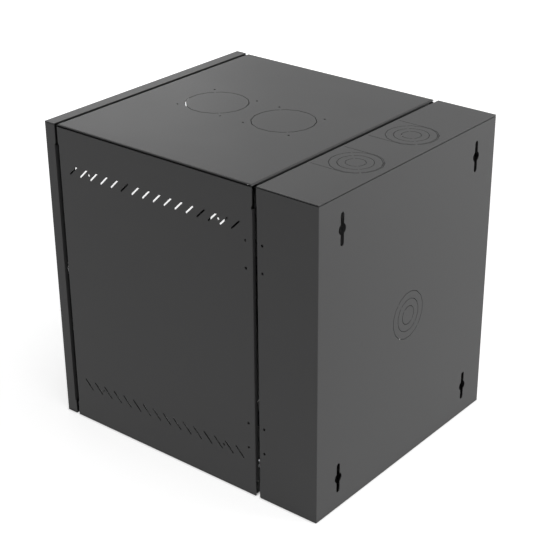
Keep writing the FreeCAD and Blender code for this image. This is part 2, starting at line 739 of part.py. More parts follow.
# ---------------------------------------------------------------- door
def door_frame():
    """Folded tray with a hemmed window opening and a rear lip down each side."""
    inside_x, inside_z = half_width - sheet, half_height - sheet
    tray = block((-half_width, half_width), (door_rear, door_front), (-half_height, half_height))
    tray = tray.makeFillet(bend, edges_where(tray, lambda p: near(p.y, -door_front)))
    skin = door_front - sheet
    lips_low, lips_high = door_lip_plane, door_lip_plane + sheet
    cuts = [
        block((-inside_x, inside_x), (lips_high, skin), (-inside_z, inside_z)),
        block((-half_width + side_lip, half_width - side_lip), (door_rear - 1, skin), (-inside_z, inside_z)),
        block((-half_width - 1, half_width + 1), (door_rear - 1, lips_low), (side_lip_bottom, side_lip_top)),
        block((-inside_x, inside_x), (door_rear - 1, lips_low), (-inside_z, inside_z)),
    ]
    for low, high in ((side_lip_top, inside_z), (-inside_z, side_lip_bottom)):
        cuts.append(block((-inside_x, inside_x), (door_rear - 1, skin), (low, high)))
    start = side_lip_top + relief_height
    relief = [(door_rear, start), (lips_low, start - relief_slope)]
    relief += [(lips_low, side_lip_top), (door_rear, side_lip_top)]
    outline = [at(-half_width - 1, depth, z) for depth, z in relief + relief[:1]]
    cuts.append(Part.Face(Part.makePolygon(outline)).extrude(Vector(width + 2, 0, 0)))
    for side in (-1, 1):
        x0, x1 = sorted((side * inside_x, side * (half_width + 1)))
        for end in (-1, 1):
            z0, z1 = sorted((end * inside_z, end * (inside_z - door_seam)))
            cuts.append(block((x0, x1), (door_rear - 1, skin), (z0, z1)))
    cuts.append(block((-window_half_width, window_half_width), (skin - 1, door_front + 1),
                      (-window_half_height, window_half_height)))
    tray = without(tray, cuts)
    hem_rear = door_front - window_hem
    hem = without(
        block((-window_half_width - sheet, window_half_width + sheet), (hem_rear, skin),
              (-window_half_height - sheet, window_half_height + sheet)),
        [block((-window_half_width, window_half_width), (hem_rear - 1, skin + 1),
               (-window_half_height, window_half_height))])
    cross = []
    for side in (-1, 1):
        z0, z1 = sorted((side * inside_z, side * (inside_z - lip)))
        cross.append(block((-half_width + corner_relief, half_width - corner_relief), (lips_low, lips_high),
                           (z0, z1)))
    tray = joined([tray, hem] + cross)
    lock_hole = prism(at(lock_x, door_front - window_hem, 0), at(lock_x, door_front + 1, 0),
                      lock_barrel_diameter + 2 * lap_gap, barrel_sides)
    return tray.cut(lock_hole)


def pane(half_x, half_z, rear, front):
    return block((-half_x, half_x), (rear, front), (-half_z, half_z))


def glass_rear():
    """Depth of the pane's rear face; the seal's front wall lies between the pane and the hem."""
    return door_front - window_hem - lap_gap - seal_wall - glass_thickness


def window_glass():
    half_x, half_z = window_half_width + glass_overlap, window_half_height + glass_overlap
    return pane(half_x, half_z, glass_rear(), glass_rear() + glass_thickness)


def window_seal():
    """Rubber channel round the edge of the pane."""
    rear = glass_rear() - seal_wall
    front = glass_rear() + glass_thickness + seal_wall
    over = glass_overlap + 1.5 * seal_wall
    body = pane(window_half_width + over, window_half_height + over, rear, front)
    opening = pane(window_half_width + seal_cover, window_half_height + seal_cover, rear - 1, front + 1)
    room = glass_overlap + lap_gap
    groove_cut = pane(window_half_width + room, window_half_height + room,
                      glass_rear() - lap_gap / 2, glass_rear() + glass_thickness + lap_gap / 2)
    return without(body, [opening, groove_cut])


def clip_places():
    """Centre and outward direction of each glass clip, as (x, z, outward x, outward z)."""
    places = []
    over = glass_overlap + 1.5 * seal_wall
    for i in range(clip_count_side):
        z = (i - (clip_count_side - 1) / 2) * window_half_height
        for side in (-1, 1):
            places.append((side * (window_half_width + over), z, side, 0))
    for i in range(clip_count_end):
        x = (i - (clip_count_end - 1) / 2) * window_half_width
        for side in (-1, 1):
            places.append((x, side * (window_half_height + over), 0, side))
    return places


def clip_profile():
    """Z-shaped clip in its own frame: +X is outward, +Y is towards the wall, Z is along the clip."""
    arm = window_hem - sheet + 2 * lap_gap + 2 * seal_wall + glass_thickness
    web = clip_web_gap + sheet
    outline = [
        (clip_web_gap, 0), (clip_foot, 0), (clip_foot, sheet), (web, sheet), (web, arm + sheet),
        (-clip_reach, arm + sheet), (-clip_reach, arm), (clip_web_gap, arm), (clip_web_gap, 0),
    ]
    corners = [Vector(x, y, -clip_width / 2) for x, y in outline]
    clip = Part.Face(Part.makePolygon(corners)).extrude(Vector(0, 0, clip_width))
    hole = Vector(clip_stud_offset, -1, 0), Vector(clip_stud_offset, sheet + 1, 0)
    return drilled(clip, [hole], clip_stud_diameter + 2 * lap_gap)


def clip_turn(out_x, out_z):
    return math.degrees(math.atan2(-out_z, out_x))


def glass_clips():
    clip = clip_profile()
    skin = door_front - sheet
    return group([
        placed(clip, at(x, skin - lap_gap, z), [(Vector(0, 1, 0), clip_turn(out_x, out_z))])
        for x, z, out_x, out_z in clip_places()
    ])


def glass_clip_studs():
    """Weld studs on the door skin, each with a nut that holds a clip."""
    skin = door_front - sheet
    solids = []
    for x, z, out_x, out_z in clip_places():
        foot = at(x + clip_stud_offset * out_x, skin, z + clip_stud_offset * out_z)
        solids.append(shank(foot, foot + to_wall * clip_stud_length, clip_stud_diameter))
        solids.append(nut(foot + to_wall * (sheet + lap_gap), to_wall, clip_stud_diameter))
    return group(solids)


# ---------------------------------------------------------------- door lock
def cam_depths():
    rear = swing_front_lip_plane - sheet - cam_clearance - cam_thickness
    return rear, rear + cam_thickness


def lock_barrel():
    """Fixed housing of the cam lock, with a flange on the front of the door."""
    rear, front = cam_depths()[1] + lock_play, door_front + lock_flange_height
    start, end = at(lock_x, rear, 0), at(lock_x, front, 0)
    body = prism(start, end, lock_barrel_diameter, barrel_sides)
    flange = prism(at(lock_x, door_front + lap_gap, 0), end, lock_flange_diameter, barrel_sides)
    bore = prism(start, end, lock_plug_diameter + 2 * lock_running_gap, barrel_sides)
    return joined([body, flange]).cut(bore)


def lock_nut():
    """Flat nut that clamps the housing to the door skin."""
    start = at(lock_x, door_front - sheet, 0)
    end = start + to_wall * lock_nut_height
    bore = prism(start, end, lock_barrel_diameter + lap_gap, barrel_sides)
    return prism(start, end, lock_nut_across, 6).cut(bore)


def lock_plug():
    """Turning plug with a key slot in its face and a square tail for the cam."""
    cam_rear, cam_front = cam_depths()
    face = door_front + lock_flange_height
    plug = rod(at(lock_x, cam_front + lap_gap, 0), at(lock_x, face, 0), lock_plug_diameter)
    half = plug_tail / 2
    tail = block((lock_x - half, lock_x + half), (cam_rear - lock_play, cam_front + 1), (-half, half))
    key_x, key_z = key_slot[0] / 2, key_slot[1] / 2
    key = block((lock_x - key_x, lock_x + key_x), (door_front - door_depth / 2, face + 1), (-key_z, key_z))
    return joined([plug, tail]).cut(key)


def lock_cam():
    """Flat cam, pointing down when unlocked."""
    rear, front = cam_depths()
    r = cam_width / 2
    tip_z = r - cam_length
    disc = prism(at(lock_x, rear, 0), at(lock_x, front, 0), cam_width, knuckle_sides)
    arm = block((lock_x - r, lock_x + r), (rear, front), (tip_z, 0))
    tip = prism(at(lock_x, rear, tip_z), at(lock_x, front, tip_z), cam_width, knuckle_sides)
    half = plug_tail / 2 + lap_gap
    hole = block((lock_x - half, lock_x + half), (rear - 1, front + 1), (-half, half))
    return joined([disc, arm, tip]).cut(hole)


def lock_cam_screw():
    tail_face = at(lock_x, cam_depths()[0] - lock_play, 0)
    return prism(tail_face, tail_face + to_wall * cam_screw_height, cam_screw_across, 6)


# ---------------------------------------------------------------- swing latch
def latch_way(x_range, z, gap):
    """Square passage for the bolt, with a gap on each side."""
    half = latch_bolt_width / 2 + gap
    return block(x_range, (latch_depth - half, latch_depth + half), (z - half, z + half))


def latch_strike(z):
    """Tab on the wall section that reaches into the swing section, with a hole for the bolt."""
    inside = half_width - sheet - lap_gap
    outer = half_width - strike_inset
    foot_rear, bridge = [wall_section_depth - inset for inset in strike_foot]
    z0, z1 = z - strike_height / 2, z + strike_height / 2
    foot = block((inside - latch_plate, inside), (foot_rear, bridge + latch_plate), (z0, z1))
    step = block((outer - latch_plate, inside), (bridge, bridge + latch_plate), (z0, z1))
    arm = block((outer - latch_plate, outer), (bridge, strike_tip_depth), (z0, z1))
    tip = edges_where(arm, lambda p: near(p.y, -strike_tip_depth))
    arm = arm.makeChamfer(strike_corner, [e for e in tip if near(e.BoundBox.ZLength, 0)])
    way = latch_way((outer - 2 * latch_plate, outer + 1), z, strike_hole_gap)
    return joined([foot, step, arm]).cut(way)


def latch_bracket(z):
    """Clevis on the side panel that straddles the strike and guides the bolt."""
    inside = half_width - sheet - lap_gap
    ear_outer, ear_inner = [half_width - inset for inset in ear_insets]
    rear = latch_depth - ear_reach[0]
    front = strike_tip_depth + ear_reach[1]
    z0, z1 = z - strike_height / 2, z + strike_height / 2
    parts = [
        block((inside - latch_plate, inside), (front, front + bracket_foot), (z0, z1)),
        block((ear_inner - latch_plate, inside), (front, front + latch_plate), (z0, z1)),
        block((ear_outer - latch_plate, ear_outer), (rear, front + latch_plate), (z0, z1)),
        block((ear_inner - latch_plate, ear_inner), (rear, front + latch_plate), (z0, z1)),
    ]
    return joined(parts).cut(latch_way((ear_inner - 2 * latch_plate, ear_outer + 1), z, latch_running_gap))


def latch_bolt_span():
    """Tail and nose of the bolt at rest, drawn back clear of the strike."""
    nose = half_width - strike_inset - latch_plate - latch_bolt_draw
    return nose - latch_bolt_length, nose


def latch_bolt(z):
    """Square slide bolt with a bevelled nose."""
    tail, nose = latch_bolt_span()
    half = latch_bolt_width / 2
    bar = block((tail, nose), (latch_depth - half, latch_depth + half), (z - half, z + half))
    return bar.makeChamfer(latch_bolt_bevel, edges_where(bar, lambda p: near(p.x, nose)))


def latch_knob(z):
    """Finger knob on the bolt's tail."""
    tail = latch_bolt_span()[0]
    half = latch_bolt_width / 2
    end = tail + knob_length
    knob = prism(at(tail, latch_depth, z), at(end, latch_depth, z), knob_diameter, small_sides)
    socket = block((tail, end), (latch_depth - half, latch_depth + half), (z - half, z + half))
    return knob.cut(socket)


# ---------------------------------------------------------------- buffers and earth studs
def buffers(flange_depth, facing_depth, z_offset):
    """Round rubber buffers on cross flanges; each stops just short of the flange that it faces."""
    solids = []
    for x in (-buffer_spread, buffer_spread):
        for side in (-1, 1):
            start, end = at(x, flange_depth, side * z_offset), at(x, facing_depth, side * z_offset)
            solids.append(prism(start, end, buffer_diameter, small_sides))
    return group(solids)


def earth_stud(x, depth, floor_z):
    """Threaded stud with a nut, standing on a floor panel."""
    foot = at(x, depth, floor_z)
    stud = shank(foot, foot + upwards * stud_length, stud_diameter)
    flange = prism(foot, foot + upwards * stud_flange, 2 * stud_diameter, thread_sides)
    return group([joined([stud, flange]), nut(foot + upwards * stud_nut_height, upwards, stud_diameter)])


# ---------------------------------------------------------------- all nodes
def build():
    floor_z = -half_height + 2 * sheet + lap_gap
    cross_z = half_height - end_zone / 2
    nodes = {
        "wall_wrap": wall_wrap(),
        "wall_top_panel": wall_top_panel(),
        "wall_bottom_panel": wall_bottom_panel(),
        "swing_hinge_pins": swing_hinge_pins(),
        "wall_hinge_screws": hinge_screws(hinge_hole_depths[0]),
        "wall_earth_stud": earth_stud(stud_x, stud_insets[0], floor_z),
        "swing_buffers": buffers(wall_section_depth, swing_rear - buffer_clearance, cross_z),
        "right_side_panel": right_side_panel(),
        "left_side_panel": mirror_x(right_side_panel()),
        "swing_top_panel": swing_top_panel(),
        "swing_bottom_panel": swing_bottom_panel(),
        "swing_hinge_screws": hinge_screws(hinge_hole_depths[1]),
        "swing_earth_stud": earth_stud(stud_x, swing_rear + stud_insets[1], floor_z),
        "door_hinge_lower_halves": door_hinge_halves(False),
        "door_hinge_upper_halves": door_hinge_halves(True),
        "door_frame": door_frame(),
        "window_glass": window_glass(),
        "window_seal": window_seal(),
        "glass_clips": glass_clips(),
        "glass_clip_studs": glass_clip_studs(),
        "lock_barrel": lock_barrel(),
        "lock_nut": lock_nut(),
        "lock_plug": lock_plug(),
        "lock_cam": lock_cam(),
        "lock_cam_screw": lock_cam_screw(),
        "door_buffers": buffers(swing_front, door_lip_plane - buffer_clearance, cross_z + door_buffer_shift),
    }
    for name, centre in zip(("upper", "lower"), hinge_centre_heights):
        nodes[f"{name}_hinge_fixed_half"] = hinge_half(centre, True)
        nodes[f"{name}_hinge_moving_half"] = hinge_half(centre, False)
    for name, z in (("upper", latch_height), ("lower", -latch_height)):
        nodes[f"{name}_latch_strike"] = latch_strike(z)
        nodes[f"{name}_latch_bracket"] = latch_bracket(z)
        nodes[f"{name}_latch_bolt"] = latch_bolt(z)
        nodes[f"{name}_latch_knob"] = latch_knob(z)
    for side_name, side in (("right", 1), ("left", -1)):
        for end_name, end in (("upper", 1), ("lower", -1)):
            nodes[f"{end_name}_{side_name}_rail_bracket"] = rail_bracket(side, end)
        for row, depth, faces_front in (("front", front_rail_depth, True), ("rear", rear_rail_depth, False)):
            nodes[f"{row}_{side_name}_rack_rail"] = rack_rail(side, depth, faces_front)
            nodes[f"{row}_{side_name}_rail_bolts"] = rail_bolts(side, depth, faces_front)
    return nodes


os.makedirs("parts", exist_ok=True)
for node, shape in build().items():
    shape.exportStep(f"parts/{node}.step")
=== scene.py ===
"""Looks of a hinged wall mount network cabinet, built round its packed CAD frame."""

import json
import math

import bpy
import numpy as np
from bpy.props import FloatProperty, FloatVectorProperty, IntProperty, PointerProperty
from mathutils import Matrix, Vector


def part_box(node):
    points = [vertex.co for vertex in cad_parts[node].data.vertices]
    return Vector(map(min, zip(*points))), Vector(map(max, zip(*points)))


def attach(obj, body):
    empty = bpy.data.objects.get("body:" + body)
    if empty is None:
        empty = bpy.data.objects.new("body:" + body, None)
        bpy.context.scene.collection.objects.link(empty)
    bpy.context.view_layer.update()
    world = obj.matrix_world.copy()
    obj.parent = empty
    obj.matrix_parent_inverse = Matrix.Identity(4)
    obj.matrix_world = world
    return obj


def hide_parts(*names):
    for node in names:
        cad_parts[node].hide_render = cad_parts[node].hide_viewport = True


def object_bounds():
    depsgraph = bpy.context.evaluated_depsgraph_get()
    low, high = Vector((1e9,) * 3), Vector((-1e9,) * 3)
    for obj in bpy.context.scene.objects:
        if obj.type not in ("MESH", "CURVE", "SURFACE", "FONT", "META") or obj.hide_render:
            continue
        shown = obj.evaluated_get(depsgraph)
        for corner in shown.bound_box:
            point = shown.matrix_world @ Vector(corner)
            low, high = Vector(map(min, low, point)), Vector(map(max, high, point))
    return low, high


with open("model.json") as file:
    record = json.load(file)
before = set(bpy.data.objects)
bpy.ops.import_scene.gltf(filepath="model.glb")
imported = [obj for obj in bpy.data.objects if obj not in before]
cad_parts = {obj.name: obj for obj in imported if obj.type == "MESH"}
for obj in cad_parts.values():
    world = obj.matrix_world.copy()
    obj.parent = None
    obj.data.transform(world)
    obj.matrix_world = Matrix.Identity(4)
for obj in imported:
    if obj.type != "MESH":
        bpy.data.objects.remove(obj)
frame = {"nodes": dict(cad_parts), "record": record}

bl_info = {
    "name": "Wall Mount Cabinet Looks",
    "version": (1, 0, 0),
    "blender": (4, 5, 0),
    "location": "3D View > Sidebar > Cabinet",
    "description": "Finishes the cabinet's sheet steel, glass and fittings, and sets up the studio",
    "category": "Object",
}

TURN = 2 * math.pi
SHARP_ANGLE = math.radians(40)  # steeper edges stay sharp
HEX_RATIO = 1.65  # width across a nut's flats over its thread's diameter
HEAD_RATIO = 0.5  # height of a screw's head over its thread's diameter
HEX_CROWN = 0.96  # radius of a hexagon's flat face over half its width across the flats
HEX_SLOPE = 0.5  # height of a hexagon's chamfer over what it takes off the corners
HEAD_WASHER = 0.95  # radius of the washer face under a head over half the head's width
HEAD_RECESS = (0.7, 0.66)  # rim and floor of the recess in a head over half the head's width
NUT_BEVEL = 0.1  # bevel of a nut's bore over the bore's radius
PITCH_RATIO = 0.165  # pitch of a thread over its diameter
THREAD_DEPTH = 0.6  # depth of a thread over its pitch
THREAD_FROM = 0.9  # least radius that is threaded over the thread's own
RECORD = frame["record"]
BODY_OF = {node: body for body, nodes in RECORD["behaviour"]["bodies"].items() for node in nodes}
SLOT_OF = {part["node"]: part["material_slot"] for part in RECORD["subparts"]}
# zinc pieces that are black
BLACKENED = ("upper_latch_strike", "lower_latch_strike", "upper_latch_bracket", "lower_latch_bracket")
CAD_BOX = [list(corner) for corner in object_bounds()]


# ---------------------------------------------------------------- sizes and colours
def colour_setting(name, description, default):
    """A colour."""
    return FloatVectorProperty(
        name=name, description=description, subtype="COLOR", default=default, min=0.0, max=1.0)


def length_setting(name, description, default, least, most):
    """A length in metres."""
    return FloatProperty(
        name=name, description=description, subtype="DISTANCE", unit="LENGTH", default=default,
        min=least, max=most)


def share_setting(name, description, default, most=1.0):
    """A number between 0 and its highest value."""
    return FloatProperty(
        name=name, description=description, subtype="FACTOR", default=default, min=0.0, max=most)


def count_setting(name, description, default, least, most):
    """A whole number."""
    return IntProperty(name=name, description=description, default=default, min=least, max=most)


def power_setting(name, description, default):
    """The power of a lamp in watts."""
    return FloatProperty(name=name, description=description, unit="POWER", default=default, min=0.0)


class SteelFinish(bpy.types.PropertyGroup):
    """The powder coat on the folded panels."""

    coat: colour_setting("Coat", "Colour of the powder coat", (0.036, 0.036, 0.0365))
    roughness: share_setting("Roughness", "How matt the coat is", 0.42)
    gloss: share_setting("Gloss", "How much the coat reflects", 0.27)
    grain: length_setting("Grain", "Size of the coat's fine texture", 0.0011, 0.0001, 0.01)
    relief: length_setting("Relief", "Height of the coat's fine texture", 0.00007, 0.0, 0.001)
    spread: share_setting("Spread", "Change of tone over the sheet", 0.06, 0.5)


class FittingFinish(bpy.types.PropertyGroup):
    """Rails, plated steel, rubber, plastic and glass."""

    rail: colour_setting("Rails", "Colour of the rail paint", (0.03, 0.03, 0.031))
    zinc: colour_setting("Zinc", "Colour of the zinc plate", (0.56, 0.57, 0.59))
    black_zinc: colour_setting("Black Zinc", "Colour of the latches' black zinc plate", (0.05, 0.05, 0.055))
    chrome: colour_setting("Chrome", "Colour of the chrome plate", (0.72, 0.72, 0.74))
    rubber: colour_setting("Rubber", "Colour of seals and buffers", (0.018, 0.018, 0.018))
    plastic: colour_setting("Plastic", "Colour of the knobs", (0.02, 0.02, 0.021))
    glass: colour_setting("Glass", "Tint of the pane", (0.995, 0.998, 0.996))


class DetailSizes(bpy.types.PropertyGroup):
    """Fine forms that the frame leaves plain."""

    segments: count_setting("Segments", "Points round a turned piece", 48, 12, 128)
    thread_segments: count_setting("Thread Segments", "Points round a thread", 24, 12, 64)
    thread_rows: count_setting("Thread Rows", "Rows in one pitch", 6, 4, 16)
    edge: length_setting("Edge", "Rounding of small metal edges", 0.0003, 0.0, 0.002)
    seat_gap: length_setting("Seat Gap", "Hair of air under a nut", 0.00002, 0.0, 0.0001)
    lock_flange: length_setting("Lock Flange", "Height of the lock's flange", 0.0025, 0.001, 0.005)
    lock_pitch: length_setting("Lock Pitch", "Pitch of the lock housing's thread", 0.001, 0.0005, 0.002)
    knob_ribs: count_setting("Knob Ribs", "Ribs round a knob", 20, 6, 60)
    knob_rib: share_setting("Knob Rib", "Height of a rib over the knob's radius", 0.03, 0.1)
    seal_width: length_setting("Seal Width", "Width of the seal's face", 0.013, 0.006, 0.02)
    seal_corner: length_setting("Seal Corner", "Outer radius of the seal's corners", 0.016, 0.004, 0.04)
    seal_round: length_setting("Seal Round", "Rounding of the seal's edges", 0.001, 0.0002, 0.002)


class StudioSettings(bpy.types.PropertyGroup):
    """Camera, floor and lights."""

    camera_place: FloatVectorProperty(
        name="Camera", description="Place of the camera", subtype="TRANSLATION", unit="LENGTH",
        default=(1.88332, 1.2268, 1.1804))
    camera_turn: FloatVectorProperty(
        name="Camera Turn", description="Turn of the camera", subtype="EULER", unit="ROTATION",
        default=(math.radians(63.10105), math.radians(-0.26984), math.radians(127.76354)))
    lens: FloatProperty(
        name="Lens", description="Focal length in millimetres", default=93.29017, min=10, max=300)
    shift: FloatVectorProperty(
        name="Shift", description="Shift of the lens", size=2, default=(-0.06384, 0.03496))
    floor: colour_setting("Floor", "Colour of the floor", (0.6, 0.6, 0.6))
    floor_glow: share_setting("Floor Glow", "White of the floor that lamps leave out", 0.74)
    glow_start: length_setting("Glow Start", "Distance at which the floor starts to whiten", 0.9, 0.0, 10.0)
    glow_end: length_setting("Glow End", "Distance at which the floor is white", 3.0, 0.0, 15.0)
    # painted contact shade: the floor's glow is darkened within this distance of the cabinet
    painted_shade_reach: length_setting("Shade Reach", "How near the cabinet darkens the floor", 0.005, 0.0005, 0.5)
    ambient: FloatProperty(
        name="Ambient", description="Strength of the even light", default=0.1, min=0, max=3)
    corner_power: power_setting("Corner", "Power of the lamp at the rear right corner", 60)
    rear_power: power_setting("Rear", "Power of the lamp behind", 74)
    front_power: power_setting("Front", "Power of the lamp in front", 16)
    top_power: power_setting("Top", "Power of the lamp overhead", 24)


# ---------------------------------------------------------------- surfaces
def surface(points, wrap_u=False, wrap_v=True, caps=True):
    """Shape of a grid of points (u, v): a quad between each four neighbours. A wrap closes a direction, and
    caps close the first and last rows. Gives the points, the corners of the faces one after another, and how
    many corners each face has."""
    rows, columns = points.shape[:2]
    index = np.arange(rows * columns).reshape(rows, columns)
    u = np.arange(rows if wrap_u else rows - 1)[:, None]
    v = np.arange(columns if wrap_v else columns - 1)[None, :]
    next_u, next_v = (u + 1) % rows, (v + 1) % columns
    quads = np.stack([index[u, v], index[u, next_v], index[next_u, next_v], index[next_u, v]], axis=-1)
    corners, counts = [quads.ravel()], [np.full(quads.size // 4, 4)]
    if caps and not wrap_u:
        corners += [index[0, ::-1], index[-1]]
        counts.append(np.full(2, columns))
    return points.reshape(-1, 3), np.concatenate(corners), np.concatenate(counts)


def turned(profile, segments, radius_at=None):
    """Grid of a turned form about Z: row k is the circle of radius profile[k, 0] at height profile[k, 1].
    radius_at changes the radius as a function of the angle, the profile's own radius and the height."""
    profile = np.asarray(profile, float)
    angle = np.linspace(0, TURN, segments, endpoint=False)[None, :]
    radius = np.repeat(profile[:, :1], segments, axis=1)
    height = np.repeat(profile[:, 1:], segments, axis=1)
    if radius_at is not None:
        radius = radius_at(angle, radius, height)
    return np.stack([radius * np.cos(angle), radius * np.sin(angle), height], axis=-1)


def hexagon(apothem):
    """Radius of a hexagon at each angle, cut by the turned chamfer: the smaller of the two radii."""
    def radius_at(angle, radius, height):
        flat = apothem / np.cos((angle % (TURN / 6)) - TURN / 12)
        return np.minimum(flat, radius)
    return radius_at


def helix(outer, pitch, low, high):
    """Radius of a thread: the outer radius less a triangle wave that climbs one pitch in a turn. It fades to
    the plain form over one pitch at each end, and leaves smaller radii alone."""
    def radius_at(angle, radius, height):
        phase = (height / pitch - angle / TURN) % 1.0
        fade = np.clip(np.minimum(height - low, high - height) / pitch, 0, 1)
        wave = np.abs(2 * phase - 1) * fade * (radius > THREAD_FROM * outer)
        return radius - THREAD_DEPTH * pitch * wave
    return radius_at


def ribs(count, rim, rise):
    """Radius of a knurled rim: a cosine with count waves and height rise, which fades inside the rim."""
    fade_from, fade_width = 0.85, 0.12

    def radius_at(angle, radius, height):
        near_rim = np.clip((radius / rim - fade_from) / fade_width, 0, 1)
        return radius * (1 + rise * near_rim * np.cos(count * angle))
    return radius_at


def arc(centre, radius, start, end, count):
    """Points of an arc from one angle to another, as (distance, height) rows."""
    angle = np.linspace(start, end, count)
    return np.stack([centre[0] + radius * np.cos(angle), centre[1] + radius * np.sin(angle)], axis=1)


def aimed(points, start, axis):
    """Turns a grid made about +Z so that +Z lies along an axis of the frame, then moves it to its start."""
    x, y, z = points[..., 0], points[..., 1], points[..., 2]
    turned_points = {
        "+X": (z, x, y), "+Y": (y, z, x), "+Z": (x, y, z),
        "-X": (-z, y, x), "-Y": (x, -z, y), "-Z": (y, x, -z),
    }[axis]
    return np.stack(turned_points, axis=-1) + np.asarray(start, float)


def along(axis):
    """Unit vector of an axis, its line's number, and its sign."""
    line, sign = "XYZ".index(axis[1]), 1 if axis[0] == "+" else -1
    return sign * np.eye(3)[line], line, sign


def against(axis):
    """The opposite axis."""
    return ("-" if axis[0] == "+" else "+") + axis[1]


def merged(name, shapes):
    """One object from several shapes, smooth on curved parts and sharp at steep edges."""
    first = np.cumsum([0] + [len(points) for points, _, _ in shapes])
    points = np.concatenate([shape[0] for shape in shapes])
    corners = np.concatenate([shape[1] + base for shape, base in zip(shapes, first)])
    counts = np.concatenate([shape[2] for shape in shapes])
    mesh = bpy.data.meshes.new(name)
    mesh.vertices.add(len(points))
    mesh.vertices.foreach_set("co", points.ravel())
    mesh.loops.add(len(corners))
    mesh.loops.foreach_set("vertex_index", corners)
    mesh.polygons.add(len(counts))
    mesh.polygons.foreach_set("loop_start", np.cumsum(counts) - counts)
    mesh.polygons.foreach_set("use_smooth", np.ones(len(counts), bool))
    mesh.update(calc_edges=True)
    mesh.validate()
    mesh.set_sharp_from_angle(angle=SHARP_ANGLE)
    piece = bpy.data.objects.new(name, mesh)
    bpy.context.scene.collection.objects.link(piece)
    return piece


def fit(piece, nodes):
    """Puts a finished piece in place of CAD nodes, on their body, with the finish of their slot."""
    slot = SLOT_OF[nodes[0]]
    piece.data.materials.append(material_for(slot))
    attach(piece, BODY_OF[nodes[0]])
    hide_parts(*nodes)


def solids_of(node):
    """Boxes of the separate solids of a CAD node, as (low, high) arrays. Points that share a triangle take
    the lowest label among them, again and again until no label changes."""
    mesh = bpy.data.objects[node].data
    points = np.empty(len(mesh.vertices) * 3)
    mesh.vertices.foreach_get("co", points)
    points = points.reshape(-1, 3)
    loops = np.empty(len(mesh.loops), int)
    mesh.loops.foreach_get("vertex_index", loops)
    _, same = np.unique(np.round(points, 6), axis=0, return_inverse=True)
    same = same.ravel()
    corners = same[loops].reshape(-1, 3)
    group = np.arange(same.max() + 1)
    while True:
        low = group[corners].min(axis=1)
        fresh = group.copy()
        np.minimum.at(fresh, corners.ravel(), np.repeat(low, 3))
        fresh = fresh[fresh]
        if (fresh == group).all():
            break
        group = fresh
    label = group[same]
    return [(points[label == g].min(axis=0), points[label == g].max(axis=0)) for g in np.unique(label)]


def spans(node, axis):
    """Start, length, smaller and larger width of each solid of a node along an axis."""
    _, line, sign = along(axis)
    found = []
    for low, high in solids_of(node):
        start = (low + high) / 2
        start[line] = low[line] if sign > 0 else high[line]
        widths = np.delete(high - low, line)
        found.append((start, (high - low)[line], widths.min(), widths.max()))
    return found


# ---------------------------------------------------------------- shader groups
def new_group(name, inputs, outputs):
    """An empty shader node group with typed sockets, its input node and its output node."""
    group = bpy.data.node_groups.new(name, "ShaderNodeTree")
    for label, kind, default in inputs:
        socket = group.interface.new_socket(label, in_out="INPUT", socket_type=kind)
        socket.default_value = default
    for label, kind in outputs:
        group.interface.new_socket(label, in_out="OUTPUT", socket_type=kind)
    return group, group.nodes.new("NodeGroupInput"), group.nodes.new("NodeGroupOutput")


def math_node(nodes, operation):
    """A Math node of one operation."""
    node = nodes.new("ShaderNodeMath")
    node.operation = operation
    return node


def noise_node(nodes, link, vector, scale, detail, roughness=0.5):
    """A noise texture that reads a vector."""
    node = nodes.new("ShaderNodeTexNoise")
    node.inputs["Scale"].default_value = scale
    node.inputs["Detail"].default_value = detail
    node.inputs["Roughness"].default_value = roughness
    link(vector, node.inputs["Vector"])
    return node


def range_node(nodes, link, value, before, after):
    """A value carried from one range to another."""
    node = nodes.new("ShaderNodeMapRange")
    node.inputs["From Min"].default_value, node.inputs["From Max"].default_value = before
    node.inputs["To Min"].default_value, node.inputs["To Max"].default_value = after
    link(value, node.inputs["Value"])
    return node


def put_out(nodes, link, source, out, factor, height):
    """Puts out a group's height, and its colour and roughness times a factor that varies over the surface."""
    shade = nodes.new("ShaderNodeVectorMath")
    shade.operation = "SCALE"
    link(source.outputs["Colour"], shade.inputs[0])
    link(factor, shade.inputs["Scale"])
    link(shade.outputs["Vector"], out.inputs["Colour"])
    matt = math_node(nodes, "MULTIPLY")
    link(source.outputs["Roughness"], matt.inputs[0])
    link(factor, matt.inputs[1])
    link(matt.outputs[0], out.inputs["Roughness"])
    link(height, out.inputs["Height"])


def powder_grain_group():
    """Fine rounded grains of a baked powder coat, with slow changes of tone and gloss over the sheet."""
    group, source, out = new_group(
        "powder_grain",
        [("Colour", "NodeSocketColor", (0.04, 0.04, 0.04, 1)), ("Grain", "NodeSocketFloat", 0.001),
         ("Roughness", "NodeSocketFloat", 0.45), ("Tone Spread", "NodeSocketFloat", 0.1)],
        [("Colour", "NodeSocketColor"), ("Roughness", "NodeSocketFloat"), ("Height", "NodeSocketFloat")])
    nodes, link = group.nodes, group.links.new
    place = nodes.new("ShaderNodeTexCoord")
    scale = math_node(nodes, "DIVIDE")
    scale.inputs[0].default_value = 1.0
    link(source.outputs["Grain"], scale.inputs[1])
    fine = noise_node(nodes, link, place.outputs["Object"], scale=1.0, detail=3.0, roughness=0.55)
    link(scale.outputs[0], fine.inputs["Scale"])
    slow = noise_node(nodes, link, place.outputs["Object"], scale=9.0, detail=4.0)
    blend = nodes.new("ShaderNodeMix")
    blend.data_type = "FLOAT"
    blend.inputs["Factor"].default_value = 0.35  # share of the fine grains in the change of tone
    link(slow.outputs["Fac"], blend.inputs["A"])
    link(fine.outputs["Fac"], blend.inputs["B"])
    spread = range_node(nodes, link, blend.outputs["Result"], before=(0.25, 0.75), after=(0.0, 1.0))
    low, high = math_node(nodes, "SUBTRACT"), math_node(nodes, "ADD")
    for node in (low, high):
        node.inputs[0].default_value = 1.0
        link(source.outputs["Tone Spread"], node.inputs[1])
    link(low.outputs[0], spread.inputs["To Min"])
    link(high.outputs[0], spread.inputs["To Max"])
    put_out(nodes, link, source, out, factor=spread.outputs[0], height=fine.outputs["Fac"])
    return group


